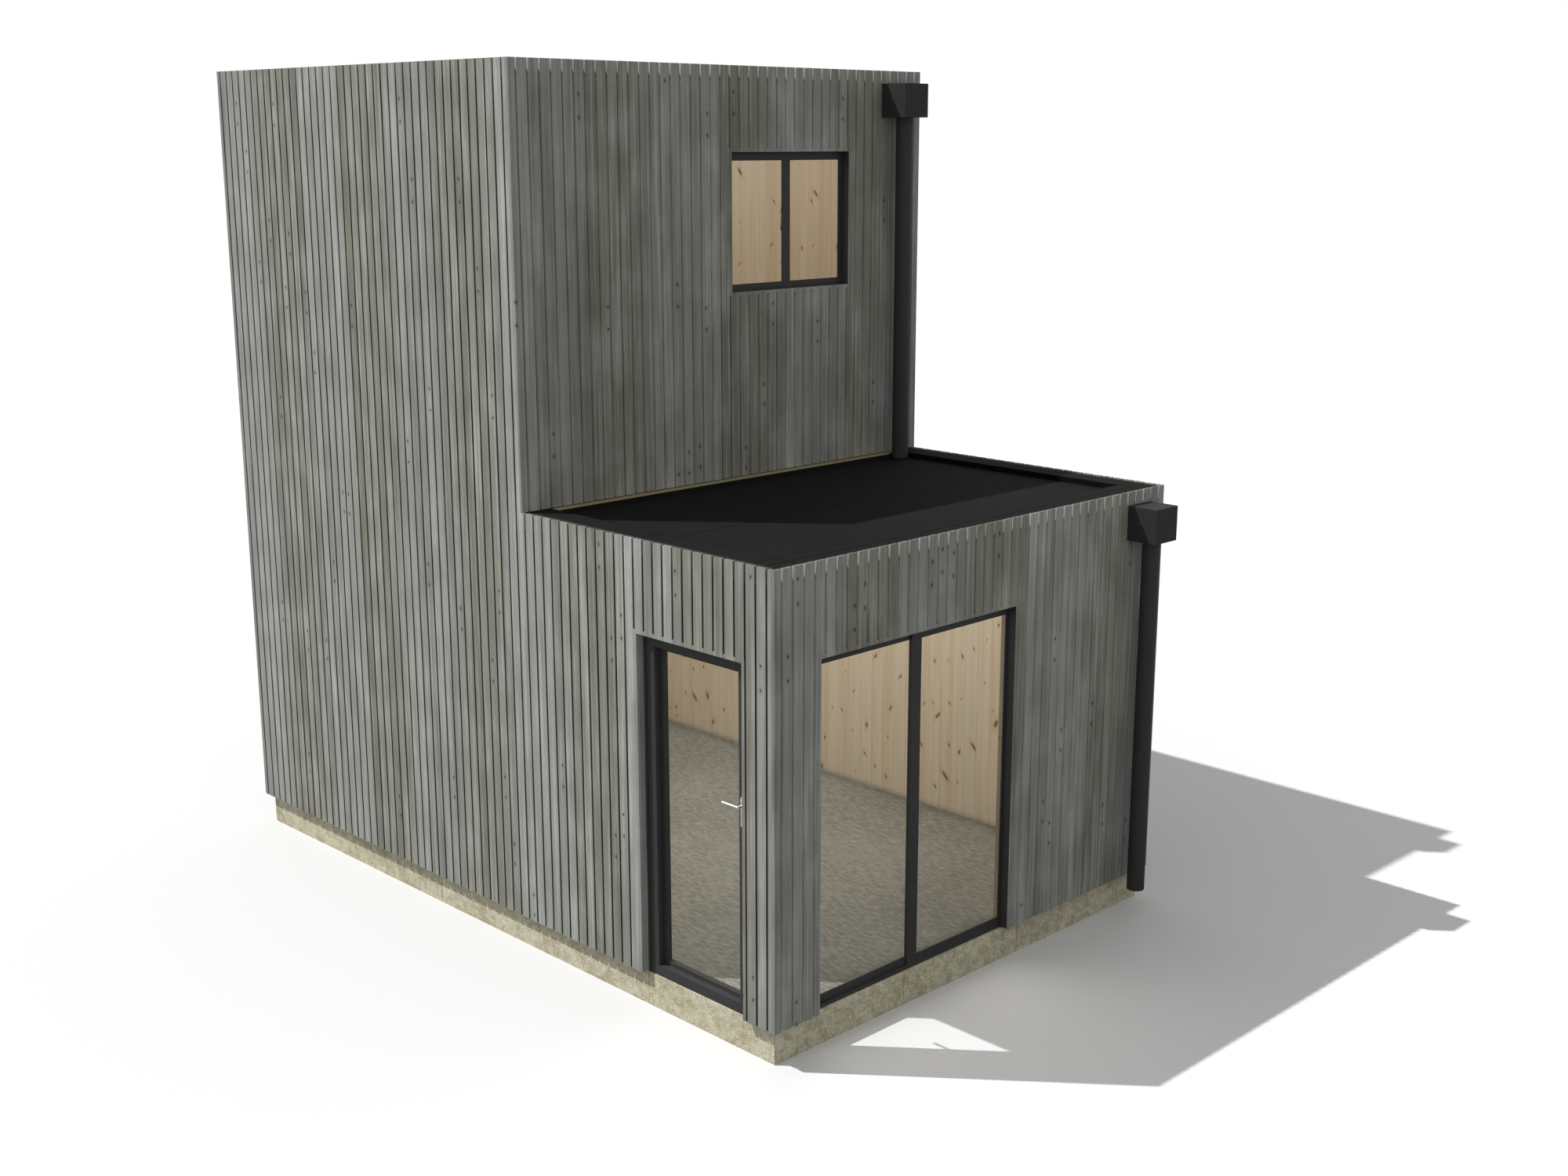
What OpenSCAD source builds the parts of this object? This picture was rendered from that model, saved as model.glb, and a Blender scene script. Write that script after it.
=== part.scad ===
// Garden office pod: a single-storey room that opens into the ground floor of a
// two-storey block. Panel walls stand on a low stone plinth behind vertical slats.
// X runs along the front, Y towards the back and Z up, in millimetres. The door is
// in the left wall and the wide window in the front wall.

/* [Overall] */
// Width across the front, outside the cladding
width = 3655; // [3000:5:5000]
// Depth from the front cladding to the back cladding
depth = 5700; // [4600:5:8000]
// Depth of the single-storey part
low_depth = 2236; // [1800:1:3200]
// Height of the single-storey cladding above the plinth
low_height = 2721; // [2650:1:3400]
// Height that the two-storey cladding rises above the single-storey cladding
upper_height = 2723; // [2500:1:3400]

/* [Walls and floors] */
// Height of the plinth
plinth_height = 218; // [100:1:400]
// Gap between the top of the plinth and the bottom of the cladding
sole_gap = 7; // [0:1:20]
// Depth of the cladding zone, slats and battens together
cladding_zone = 50; // [40:1:70]
// Thickness of the slats
slat_thickness = 20; // [16:1:32]
// Thickness of the wall panels
wall_thickness = 100; // [80:5:160]
// Thickness of the upper floor and of the roof decks
deck_thickness = 150; // [100:5:220]

/* [Roofs] */
// Drop from the top of the cladding to the rim of the roof
rim_drop = 1; // [0:1:60]
// Depth of the open slot between the tops of the slats and the wall
slot_depth = 100; // [60:5:200]
// Thickness of the roof board with its membrane
membrane_thickness = 20; // [10:1:30]
// Depth of the roof tray below its rim
tray_depth = 36; // [25:1:120]
// Width of the upstand between the wall panels and the tray
upstand_width = 72; // [40:1:150]
// Thickness of the membrane turned up round the tray
upturn_thickness = 5; // [3:1:10]
// Width of the kerb in front of the two-storey wall
kerb_width = 73; // [40:1:120]
// Height of the kerb above the tray
kerb_height = 32; // [20:1:100]
// Gap between the kerb and the cladding above it
kerb_gap = 6; // [2:1:20]

/* [Door] */
// Distance from the front to the door opening
door_from_front = 262; // [220:1:700]
// Width of the door opening
door_width = 900; // [750:5:1100]
// Height of the door opening
door_height = 2152; // [1950:1:2250]
// Set-back of the door from the face of the wall panels
door_inset = 4; // [0:1:12]
// Width of the door frame that shows on the hinge side
door_frame_face = 22; // [10:1:60]
// Gap round the leaf
leaf_gap = 6; // [6:1:10]
// Gap beside the leaf on the handle side
leaf_free_gap = 10; // [10:1:16]
// Thickness of the leaf
leaf_thickness = 82; // [70:1:88]
// Width of the leaf's stiles
leaf_stile = 70; // [55:1:110]
// Height of the leaf's top and bottom rails
leaf_rail = 63; // [50:1:110]
// Depth of the leaf's stiles and rails in front of the glazing bead
leaf_reveal = 44; // [20:1:50]
// Width of the glazing bead
leaf_bead = 26; // [15:1:40]

/* [Windows] */
// Distance from the left side to the front window
window_from_left = 370; // [300:1:700]
// Width of the front window
window_width = 1730; // [1200:5:2300]
// Height of the front window
window_height = 2156; // [1800:1:2250]
// Width of the front window's centre bar
window_mullion = 86; // [60:1:140]
// Distance that the front window's centre bar stands right of the middle
window_mullion_shift = 10; // [0:1:40]
// Set-back of the front window's left light from its right one
window_light_step = 17; // [5:1:30]
// Height of the front window's bottom rail
window_bottom_rail = 71; // [50:1:120]
// Height of the front window's top rail that shows
window_top_rail = 61; // [40:1:100]
// Width of the front window's side rails that shows
window_side_rail = 18; // [10:1:60]
// Distance from the right side to the upper window
upper_window_from_right = 740; // [600:1:1200]
// Width of the upper window
upper_window_width = 1119; // [700:1:1500]
// Height of the upper window
upper_window_height = 917; // [600:1:1200]
// Height of the upper window's sill above the single-storey cladding
upper_window_sill = 1254; // [900:1:1500]
// Width of the upper window's side rails that shows
upper_window_side_rail = 38; // [25:1:80]
// Height of the upper window's bottom rail that shows
upper_window_bottom_rail = 46; // [25:1:80]
// Height of the upper window's top rail that shows
upper_window_top_rail = 57; // [25:1:80]
// Width of the upper window's centre bar
upper_window_mullion = 75; // [50:1:120]
// Distance that the upper window's centre bar stands right of the middle
upper_window_mullion_shift = 6; // [0:1:40]
// Set-back of the window frames from the face of the wall panels
window_inset = 13; // [0:1:25]
// Width of the frames that is hidden behind the cladding
frame_cover = 45; // [30:1:70]
// Thickness of the casing boards round the openings
casing_thickness = 25; // [18:1:35]
// Depth of the casing boards round the windows
window_casing_depth = 20; // [10:1:40]
// Thickness of the sealed glass units
glass_thickness = 28; // [20:1:40]

/* [Rainwater] */
// Width of the rainwater hoppers
hopper_width = 240; // [180:5:320]
// Distance that the hoppers stand out from the wall
hopper_depth = 224; // [180:1:300]
// Height of the rainwater hoppers
hopper_height = 232; // [180:1:300]
// Distance from the right side to the hoppers
hopper_from_right = 165; // [120:1:300]
// Drop from the top of the cladding to the top of the hopper
hopper_drop = 88; // [50:1:200]
// Outside diameter of the downpipes
pipe_diameter = 120; // [80:5:160]
// Wall of the downpipes
pipe_wall = 3; // [2:0.5:6]
// Drop of the lower downpipe's end below the bottom of the cladding
lower_pipe_drop = 55; // [0:5:90]
// Gap between the upper downpipe's end and the roof tray
upper_pipe_gap = 6; // [5:1:60]
// Gap between the downpipes' side and the upstand of the roof tray
pipe_upstand_gap = 3; // [3:1:100]

/* [Hidden] */

slat_grey = "#8e8f89";
pine = "#c9ae86";
stone = "#bdb892";
membrane_black = "#242424";
frame_black = "#2a2a2b";
kerb_tan = "#8d8460";
steel_silver = "#c8c8c8";
glass_tint = [0.75, 0.82, 0.82, 0.35];
cut = 1;

// Plan lines, measured from the left front corner of the cladding
wall_out = cladding_zone;
wall_in = cladding_zone + wall_thickness;
block_front = low_depth;
block_wall_out = low_depth + wall_out;
block_wall_in = low_depth + wall_in;

// Levels above the bottom of the cladding
base = -sole_gap;
ground = base - plinth_height;
tall_height = low_height + upper_height;
low_rim = low_height - rim_drop;
low_wall_top = low_rim - membrane_thickness;
low_tray = low_rim - tray_depth;
low_deck_top = low_tray - membrane_thickness;
low_batten_top = low_height - slot_depth;
tall_rim = tall_height - rim_drop;
tall_wall_top = tall_rim - membrane_thickness;
tall_tray = tall_rim - tray_depth;
tall_deck_top = tall_tray - membrane_thickness;
tall_batten_top = tall_height - slot_depth;
kerb_top = low_tray + kerb_height;
kerb_pipe_gap = 5;
tray_edge = wall_in + upstand_width;
upstand_face = tray_edge - upturn_thickness;

// Door: the leaf's face lies flush with the frame's, and its back overlaps the frame
door_y0 = door_from_front;
door_y1 = door_y0 + door_width;
door_face = wall_out + door_inset;
leaf_overlap = 12;
leaf_rebate = 26;
glass_recess = 6;
frame_y1 = door_y1 - door_frame_face;
leaf_y0 = door_y0 + leaf_free_gap;
leaf_y1 = frame_y1 - leaf_gap;
leaf_z0 = leaf_gap - sole_gap;
leaf_z1 = door_height - leaf_gap;
leaf_in = door_face + leaf_thickness;
leaf_lap = door_face + leaf_rebate;
frame_lap = leaf_lap - leaf_gap;
frame_in = leaf_in - leaf_gap;
bead_x = door_face + leaf_reveal;
door_glass_x = bead_x + glass_recess;

// Hinges: three barrels on the room side of the leaf
knuckle_radius = 9;
pin_radius = 5;
pin_clearance = 0.05;
knuckle_length = 55;
knuckle_gap = 1;
hinge_x = leaf_in + knuckle_radius;
hinge_clearance = 3;
hinge_y = leaf_y1 + leaf_overlap + hinge_clearance;
hinge_plate = 3;
hinge_reach = 36;
hinge_from_bottom = 180;
hinge_from_top = 290;
hinge_levels = [leaf_z0 + hinge_from_bottom, (leaf_z0 + leaf_z1) / 2, leaf_z1 - hinge_from_top];

// Door handle: a lever and a lock cylinder on a long plate, outside and inside
handle_y = leaf_y0 + leaf_stile / 2;
handle_height = 1292;
handle_plate_low = 1163;
handle_plate_height = 184;
handle_plate_width = 32;
handle_plate_thickness = 8;
lever_length = 128;
lever_radius = 9;
lever_standoff = 44;
cylinder_radius = 11;
cylinder_length = 14;

// Window lights: the glass stands behind the frame's rails and between its narrower legs
window_glass_recess = 8;
light_depth = window_glass_recess + glass_thickness;
frame_leg = 25;
mullion_leg = 12;

// Front window
window_x0 = window_from_left;
window_x1 = window_x0 + window_width;
window_split = (window_x0 + window_x1) / 2 + window_mullion_shift;
window_setback = wall_out + window_inset;
window_low = [window_x0 - frame_cover, window_setback, base];
window_high = [window_x1 + frame_cover, window_setback + light_depth, window_height + frame_cover];
window_step = [0, window_light_step, 0];

// Upper window
upper_x1 = width - upper_window_from_right;
upper_x0 = upper_x1 - upper_window_width;
upper_z0 = low_height + upper_window_sill;
upper_z1 = upper_z0 + upper_window_height;
upper_split = (upper_x0 + upper_x1) / 2 + upper_window_mullion_shift;
upper_window_low = [upper_x0 - frame_cover, block_front + window_setback, upper_z0 - frame_cover];
upper_window_high = [upper_x1 + frame_cover, upper_window_low.y + light_depth, upper_z1 + frame_cover];

// Upper window handle, on the room side of the centre bar
catch_plate = [28, 5, 70];
catch_shift = 5;
catch_neck_radius = 7;
catch_neck_length = 10;
catch_lever = [16, 8, 93];
catch_lever_drop = 73;

// Rainwater goods
hopper_x1 = width - hopper_from_right;
hopper_x0 = hopper_x1 - hopper_width;
pipe_x = width - tray_edge - pipe_upstand_gap - pipe_diameter / 2;
pipe_y = -hopper_depth / 2;
low_hopper_z0 = low_height - hopper_drop - hopper_height;
tall_hopper_z0 = tall_height - hopper_drop - hopper_height;

// The origin is on the ground, under the middle of the whole plan
module place() {
  translate([-width / 2, -(depth - hopper_depth) / 2, plinth_height + sole_gap]) children();
}

// A box between two corners
module slab(low, high) {
  translate(low) cube(high - low);
}

// An upright rectangular ring in a front or back wall, seen along Y
module ring_y(low, high, left, right, bottom, top) {
  difference() {
    slab(low, high);
    slab([low.x + left, low.y - cut, bottom > 0 ? low.z + bottom : low.z - cut],
         [high.x - right, high.y + cut, high.z - top]);
  }
}

// An upright rectangular ring in a side wall, seen along X
module ring_x(low, high, front, back, bottom, top) {
  difference() {
    slab(low, high);
    slab([low.x - cut, low.y + front, bottom > 0 ? low.z + bottom : low.z - cut],
         [high.x + cut, high.y - back, high.z - top]);
  }
}

// Side-wall cladding: slats at the face, battens behind them
module side_cladding(left, y0, y1, z0, z1, batten_top) {
  face = left ? 0 : width - slat_thickness;
  batten = left ? slat_thickness : width - cladding_zone;
  slab([face, y0, z0], [face + slat_thickness, y1, z1]);
  slab([batten, y0, z0], [batten + cladding_zone - slat_thickness, y1, batten_top]);
}

// Cladding across the whole width, facing the front
module front_facing_cladding(y, z0, z1, batten_top) {
  slab([0, y, z0], [width, y + slat_thickness, z1]);
  slab([0, y + slat_thickness, z0], [width, y + cladding_zone, batten_top]);
}

// --- plinth and floor ---

module plinth_front() {
  color(stone)
    slab([wall_out, wall_out, ground], [width - wall_out, wall_in, base]);
}

module plinth_back() {
  color(stone)
    slab([wall_out, depth - wall_in, ground], [width - wall_out, depth - wall_out, base]);
}

module plinth_left() {
  color(stone)
    slab([wall_out, wall_in, ground], [wall_in, depth - wall_in, base]);
}

module plinth_right() {
  color(stone)
    slab([width - wall_in, wall_in, ground], [width - wall_out, depth - wall_in, base]);
}

module floor_slab() {
  color("#7f7b6f")
    slab([wall_in, wall_in, ground], [width - wall_in, depth - wall_in, base]);
}

// --- ground-floor walls ---

module front_wall() {
  color(pine)
    difference() {
      slab([wall_in, wall_out, base], [width - wall_in, wall_in, low_wall_top]);
      slab([window_x0 - frame_cover, wall_out - cut, base - cut],
           [window_x1 + frame_cover, wall_in + cut, window_height + frame_cover]);
    }
}

module left_wall_pier() {
  color(pine)
    slab([wall_out, wall_out, base], [wall_in, door_y0 - frame_cover, low_wall_top]);
}

module left_wall_head() {
  color(pine)
    slab([wall_out, door_y0 - frame_cover, door_height + frame_cover],
         [wall_in, door_y1 + frame_cover, low_wall_top]);
}

module left_wall() {
  color(pine)
    slab([wall_out, door_y1 + frame_cover, base], [wall_in, depth - wall_out, low_wall_top]);
}

module right_wall() {
  color(pine)
    slab([width - wall_in, wall_out, base], [width - wall_out, depth - wall_out, low_wall_top]);
}

module back_wall() {
  color(pine)
    slab([wall_in, depth - wall_in, base], [width - wall_in, depth - wall_out, low_wall_top]);
}

// --- upper walls ---

module upper_front_wall() {
  color(pine)
    difference() {
      slab([wall_in, block_wall_out, low_deck_top],
           [width - wall_in, block_wall_in, tall_wall_top]);
      slab([upper_x0 - frame_cover, block_wall_out - cut, upper_z0 - frame_cover],
           [upper_x1 + frame_cover, block_wall_in + cut, upper_z1 + frame_cover]);
    }
}

module upper_left_wall() {
  color(pine)
    slab([wall_out, block_wall_out, low_wall_top], [wall_in, depth - wall_out, tall_wall_top]);
}

module upper_right_wall() {
  color(pine)
    slab([width - wall_in, block_wall_out, low_wall_top],
         [width - wall_out, depth - wall_out, tall_wall_top]);
}

module upper_back_wall() {
  color(pine)
    slab([wall_in, depth - wall_in, low_wall_top],
         [width - wall_in, depth - wall_out, tall_wall_top]);
}

// --- upper floor and roofs ---

module upper_floor() {
  color(pine)
    slab([wall_in, block_wall_out, low_deck_top - deck_thickness],
         [width - wall_in, depth - wall_in, low_deck_top]);
}

// The roof decks carry an upstand along each wall
module low_roof_deck() {
  color(pine)
    difference() {
      slab([wall_in, wall_in, low_deck_top - deck_thickness],
           [width - wall_in, block_wall_out, low_wall_top]);
      slab([upstand_face, upstand_face, low_deck_top],
           [width - upstand_face, block_wall_out + cut, low_wall_top + cut]);
    }
}

module high_roof_deck() {
  color(pine)
    difference() {
      slab([wall_in, block_wall_in, tall_deck_top - deck_thickness],
           [width - wall_in, depth - wall_in, tall_wall_top]);
      slab([upstand_face, block_front + upstand_face, tall_deck_top],
           [width - upstand_face, depth - upstand_face, tall_wall_top + cut]);
    }
}

// The membrane covers the deck, turns up at the upstands and runs out over the wall tops
module low_roof_membrane() {
  color(membrane_black)
    difference() {
      union() {
        slab([upstand_face, upstand_face, low_deck_top],
             [width - upstand_face, block_wall_out, low_rim]);
        slab([wall_out, wall_out, low_wall_top], [width - wall_out, block_wall_out, low_rim]);
      }
      slab([tray_edge, tray_edge, low_tray],
           [width - tray_edge, block_wall_out + cut, low_rim + cut]);
    }
}

module high_roof_membrane() {
  color(membrane_black)
    difference() {
      union() {
        slab([upstand_face, block_front + upstand_face, tall_deck_top],
             [width - upstand_face, depth - upstand_face, tall_rim]);
        slab([wall_out, block_wall_out, tall_wall_top],
             [width - wall_out, depth - wall_out, tall_rim]);
      }
      slab([tray_edge, block_front + tray_edge, tall_tray],
           [width - tray_edge, depth - tray_edge, tall_rim + cut]);
    }
}

// The kerb is notched round the upper downpipe
module roof_kerb() {
  notch = pipe_diameter / 2 + kerb_pipe_gap;
  color(kerb_tan)
    difference() {
      slab([tray_edge, block_front - kerb_width, low_tray],
           [width - tray_edge, block_wall_out, kerb_top]);
      slab([pipe_x - notch, block_front - kerb_width - cut, low_tray - cut],
           [pipe_x + notch, block_front + pipe_y + notch, kerb_top + cut]);
    }
}

// --- cladding ---

module front_cladding() {
  color(slat_grey)
    difference() {
      front_facing_cladding(0, 0, low_height, low_batten_top);
      slab([window_x0 - casing_thickness, -cut, -cut],
           [window_x1 + casing_thickness, wall_out + cut, window_height + casing_thickness]);
    }
}

module left_cladding_pier() {
  color(slat_grey)
    side_cladding(true, wall_out, door_y0 - casing_thickness, 0, low_height, low_batten_top);
}

module left_cladding_head() {
  color(slat_grey)
    side_cladding(true, door_y0 - casing_thickness, door_y1 + casing_thickness,
                  door_height + casing_thickness, low_height, low_batten_top);
}

module left_cladding_low() {
  color(slat_grey)
    side_cladding(true, door_y1 + casing_thickness, block_wall_out, 0, low_height, low_batten_top);
}

module left_cladding_tall() {
  color(slat_grey)
    side_cladding(true, block_wall_out, depth - wall_out, 0, tall_height, tall_batten_top);
}

module right_cladding_low() {
  color(slat_grey)
    side_cladding(false, wall_out, block_wall_out, 0, low_height, low_batten_top);
}

module right_cladding_tall() {
  color(slat_grey)
    side_cladding(false, block_wall_out, depth - wall_out, 0, tall_height, tall_batten_top);
}

module back_cladding() {
  color(slat_grey) {
    slab([0, depth - slat_thickness, 0], [width, depth, tall_height]);
    slab([0, depth - cladding_zone, 0], [width, depth - slat_thickness, tall_batten_top]);
  }
}

module upper_front_cladding() {
  color(slat_grey)
    difference() {
      front_facing_cladding(block_front, kerb_top + kerb_gap, tall_height, tall_batten_top);
      slab([upper_x0 - casing_thickness, block_front - cut, upper_z0 - casing_thickness],
           [upper_x1 + casing_thickness, block_wall_out + cut, upper_z1 + casing_thickness]);
    }
}

// --- door ---

module door_casing() {
  color(slat_grey)
    ring_x([0, door_y0 - casing_thickness, 0],
           [door_face, door_y1 + casing_thickness, door_height + casing_thickness],
           casing_thickness, casing_thickness, 0, casing_thickness);
}

module door_frame() {
  low = [0, door_y0 - frame_cover, base];
  high = [0, door_y1 + frame_cover, door_height + frame_cover];
  hinge_side = frame_cover + door_frame_face;
  color(frame_black) {
    ring_x(low + [door_face, 0, 0], high + [frame_lap, 0, 0],
           frame_cover, hinge_side, 0, frame_cover);
    ring_x(low + [frame_lap, 0, 0], high + [frame_in, 0, 0],
           frame_cover - leaf_overlap, hinge_side - leaf_overlap, 0, frame_cover - leaf_overlap);
  }
}

// The leaf: a front that shows, and a back that laps over the frame and holds the glass
module door_leaf() {
  bead_side = leaf_stile + leaf_bead;
  bead_rail = leaf_rail + leaf_bead;
  color(frame_black)
    difference() {
      union() {
        slab([door_face, leaf_y0, leaf_z0], [leaf_in, leaf_y1, leaf_z1]);
        slab([leaf_lap, leaf_y0 - leaf_overlap, leaf_z0],
             [leaf_in, leaf_y1 + leaf_overlap, leaf_z1 + leaf_overlap]);
      }
      slab([door_face - cut, leaf_y0 + leaf_stile, leaf_z0 + leaf_rail],
           [bead_x, leaf_y1 - leaf_stile, leaf_z1 - leaf_rail]);
      slab([bead_x - cut, leaf_y0 + bead_side, leaf_z0 + bead_rail],
           [leaf_in + cut, leaf_y1 - bead_side, leaf_z1 - bead_rail]);
    }
}

module door_glass() {
  bead_side = leaf_stile + leaf_bead;
  bead_rail = leaf_rail + leaf_bead;
  color(glass_tint)
    slab([door_glass_x, leaf_y0 + bead_side, leaf_z0 + bead_rail],
         [door_glass_x + glass_thickness, leaf_y1 - bead_side, leaf_z1 - bead_rail]);
}

// One side of the handle, standing off the plane x = 0 towards -X
module handle_side() {
  plate_top = handle_plate_low + handle_plate_height;
  round_radius = handle_plate_width / 2;
  low_centre = handle_plate_low + round_radius;
  high_centre = plate_top - round_radius;
  union() {
    slab([-handle_plate_thickness, handle_y - round_radius, low_centre],
         [0, handle_y + round_radius, high_centre]);
    for (level = [low_centre, high_centre])
      translate([-handle_plate_thickness, handle_y, level])
        rotate([0, 90, 0]) cylinder(r = round_radius, h = handle_plate_thickness, $fn = 48);
    translate([-cylinder_length, handle_y, low_centre])
      rotate([0, 90, 0]) cylinder(r = cylinder_radius, h = cylinder_length, $fn = 32);
    translate([-lever_standoff, handle_y, handle_height]) {
      rotate([0, 90, 0]) cylinder(r = lever_radius, h = lever_standoff, $fn = 32);
      sphere(r = lever_radius, $fn = 32);
      rotate([-90, 0, 0]) cylinder(r = lever_radius, h = lever_length, $fn = 32);
    }
  }
}

module door_handle() {
  color(steel_silver) {
    translate([door_face, 0, 0]) handle_side();
    translate([leaf_in, 0, 0]) mirror([1, 0, 0]) handle_side();
  }
}

module frame_hinges() {
  color(steel_silver)
    for (level = hinge_levels) {
      translate([hinge_x, hinge_y, level]) cylinder(r = knuckle_radius, h = knuckle_length, $fn = 32);
      translate([hinge_x, hinge_y, level])
        cylinder(r = pin_radius, h = 2 * knuckle_length + knuckle_gap, $fn = 32);
      slab([frame_in, hinge_y + knuckle_radius - hinge_plate, level],
           [hinge_x, hinge_y + knuckle_radius, level + knuckle_length]);
      slab([frame_in, hinge_y + knuckle_radius - hinge_plate, level],
           [frame_in + hinge_plate, hinge_y + hinge_reach, level + knuckle_length]);
    }
}

module leaf_hinges() {
  lift = knuckle_length + knuckle_gap;
  color(steel_silver)
    for (level = hinge_levels)
      difference() {
        union() {
          translate([hinge_x, hinge_y, level + lift])
            cylinder(r = knuckle_radius, h = knuckle_length, $fn = 32);
          slab([leaf_in, hinge_y - 2 * hinge_reach, level + lift],
               [leaf_in + hinge_plate, hinge_y, level + lift + knuckle_length]);
        }
        translate([hinge_x, hinge_y, level + lift - cut])
          cylinder(r = pin_radius + pin_clearance, h = knuckle_length + 2 * cut, $fn = 32);
      }
}

// --- front window ---

module window_casing() {
  color(slat_grey)
    ring_y([window_x0 - casing_thickness, 0, 0],
           [window_x1 + casing_thickness, window_casing_depth, window_height + casing_thickness],
           casing_thickness, casing_thickness, 0, casing_thickness);
}

// One light's frame between two corners, its rails and legs as [left, right, bottom, top]
module light_frame(low, high, rails, legs) {
  ring_y(low, [high.x, low.y + window_glass_recess, high.z], rails[0], rails[1], rails[2], rails[3]);
  ring_y([low.x, low.y + window_glass_recess, low.z], high, legs[0], legs[1], legs[2], legs[3]);
}

// One light's sealed glass unit
module light_glass(low, high, legs) {
  slab([low.x + legs[0], low.y + window_glass_recess, low.z + legs[2]],
       [high.x - legs[1], high.y, high.z - legs[3]]);
}

// The legs beside a window's left and right lights; the right light's frame forms the centre bar
function left_legs() = [frame_leg, mullion_leg, frame_leg, frame_leg];
function right_legs(mullion) = [mullion / 2, frame_leg, frame_leg, frame_leg];

module window_frame() {
  side = frame_cover + window_side_rail;
  bar = window_mullion / 2;
  bottom = sole_gap + window_bottom_rail;
  top = frame_cover + window_top_rail;
  left_high = [window_split, window_high.y, window_high.z];
  color(frame_black) {
    ring_y([window_x0 - casing_thickness, window_casing_depth, 0],
           [window_x1 + casing_thickness, window_setback, window_height + casing_thickness],
           casing_thickness, casing_thickness, 0, casing_thickness);
    ring_y(window_low, [window_split, window_setback + window_light_step, window_high.z],
           side, bar, sole_gap + window_side_rail, side);
    light_frame(window_low + window_step, left_high + window_step, [side, bar, bottom, top], left_legs());
    light_frame([window_split, window_setback, base], window_high, [bar, side, bottom, top],
                right_legs(window_mullion));
  }
}

module window_glass() {
  left_high = [window_split, window_high.y, window_high.z];
  color(glass_tint) {
    light_glass(window_low + window_step, left_high + window_step, left_legs());
    light_glass([window_split, window_setback, base], window_high, right_legs(window_mullion));
  }
}

// --- upper window ---

module upper_window_casing() {
  color(slat_grey)
    ring_y([upper_x0 - casing_thickness, block_front, upper_z0 - casing_thickness],
           [upper_x1 + casing_thickness, block_front + window_casing_depth,
            upper_z1 + casing_thickness],
           casing_thickness, casing_thickness, casing_thickness, casing_thickness);
}

module upper_window_frame() {
  side = frame_cover + upper_window_side_rail;
  bar = upper_window_mullion / 2;
  bottom = frame_cover + upper_window_bottom_rail;
  top = frame_cover + upper_window_top_rail;
  color(frame_black) {
    ring_y([upper_x0 - casing_thickness, block_front + window_casing_depth,
            upper_z0 - casing_thickness],
           [upper_x1 + casing_thickness, block_front + window_setback,
            upper_z1 + casing_thickness],
           casing_thickness, casing_thickness, casing_thickness, casing_thickness);
    light_frame(upper_window_low, [upper_split, upper_window_high.y, upper_window_high.z],
                [side, bar, bottom, top], left_legs());
    light_frame([upper_split, upper_window_low.y, upper_window_low.z], upper_window_high,
                [bar, side, bottom, top], right_legs(upper_window_mullion));
  }
}

module upper_window_glass() {
  color(glass_tint) {
    light_glass(upper_window_low, [upper_split, upper_window_high.y, upper_window_high.z], left_legs());
    light_glass([upper_split, upper_window_low.y, upper_window_low.z], upper_window_high,
                right_legs(upper_window_mullion));
  }
}

module upper_window_handle() {
  color("#8a8a8a")
    translate([upper_split + catch_shift, upper_window_high.y, (upper_z0 + upper_z1) / 2]) {
      translate([-catch_plate.x / 2, 0, -catch_plate.z / 2]) cube(catch_plate);
      translate([0, catch_plate.y, 0])
        rotate([-90, 0, 0]) cylinder(r = catch_neck_radius, h = catch_neck_length, $fn = 32);
      translate([-catch_lever.x / 2, catch_plate.y + catch_neck_length, -catch_lever_drop])
        cube(catch_lever);
    }
}

// --- rainwater goods ---

module lower_hopper() {
  color(frame_black)
    slab([hopper_x0, -hopper_depth, low_hopper_z0],
         [hopper_x1, 0, low_hopper_z0 + hopper_height]);
}

module upper_hopper() {
  color(frame_black)
    slab([hopper_x0, block_front - hopper_depth, tall_hopper_z0],
         [hopper_x1, block_front, tall_hopper_z0 + hopper_height]);
}

module downpipe(x, y, z0, z1) {
  translate([x, y, z0])
    difference() {
      cylinder(d = pipe_diameter, h = z1 - z0, $fn = 64);
      translate([0, 0, -cut])
        cylinder(d = pipe_diameter - 2 * pipe_wall, h = z1 - z0 + 2 * cut, $fn = 64);
    }
}

module lower_downpipe() {
  color(frame_black) downpipe(pipe_x, pipe_y, -lower_pipe_drop, low_hopper_z0);
}

module upper_downpipe() {
  color(frame_black)
    downpipe(pipe_x, block_front + pipe_y, low_tray + upper_pipe_gap, tall_hopper_z0);
}

place() plinth_front();
place() plinth_back();
place() plinth_left();
place() plinth_right();
place() floor_slab();
place() front_wall();
place() left_wall_pier();
place() left_wall_head();
place() left_wall();
place() right_wall();
place() back_wall();
place() upper_front_wall();
place() upper_left_wall();
place() upper_right_wall();
place() upper_back_wall();
place() upper_floor();
place() low_roof_deck();
place() high_roof_deck();
place() low_roof_membrane();
place() high_roof_membrane();
place() roof_kerb();
place() front_cladding();
place() left_cladding_pier();
place() left_cladding_head();
place() left_cladding_low();
place() left_cladding_tall();
place() right_cladding_low();
place() right_cladding_tall();
place() back_cladding();
place() upper_front_cladding();
place() door_casing();
place() door_frame();
place() door_leaf();
place() door_glass();
place() door_handle();
place() frame_hinges();
place() leaf_hinges();
place() window_casing();
place() window_frame();
place() window_glass();
place() upper_window_casing();
place() upper_window_frame();
place() upper_window_glass();
place() upper_window_handle();
place() lower_hopper();
place() upper_hopper();
place() lower_downpipe();
place() upper_downpipe();
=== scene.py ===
"""Garden office pod: slats, finishes and a plain studio round the pod's fixed frame."""

import math

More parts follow.
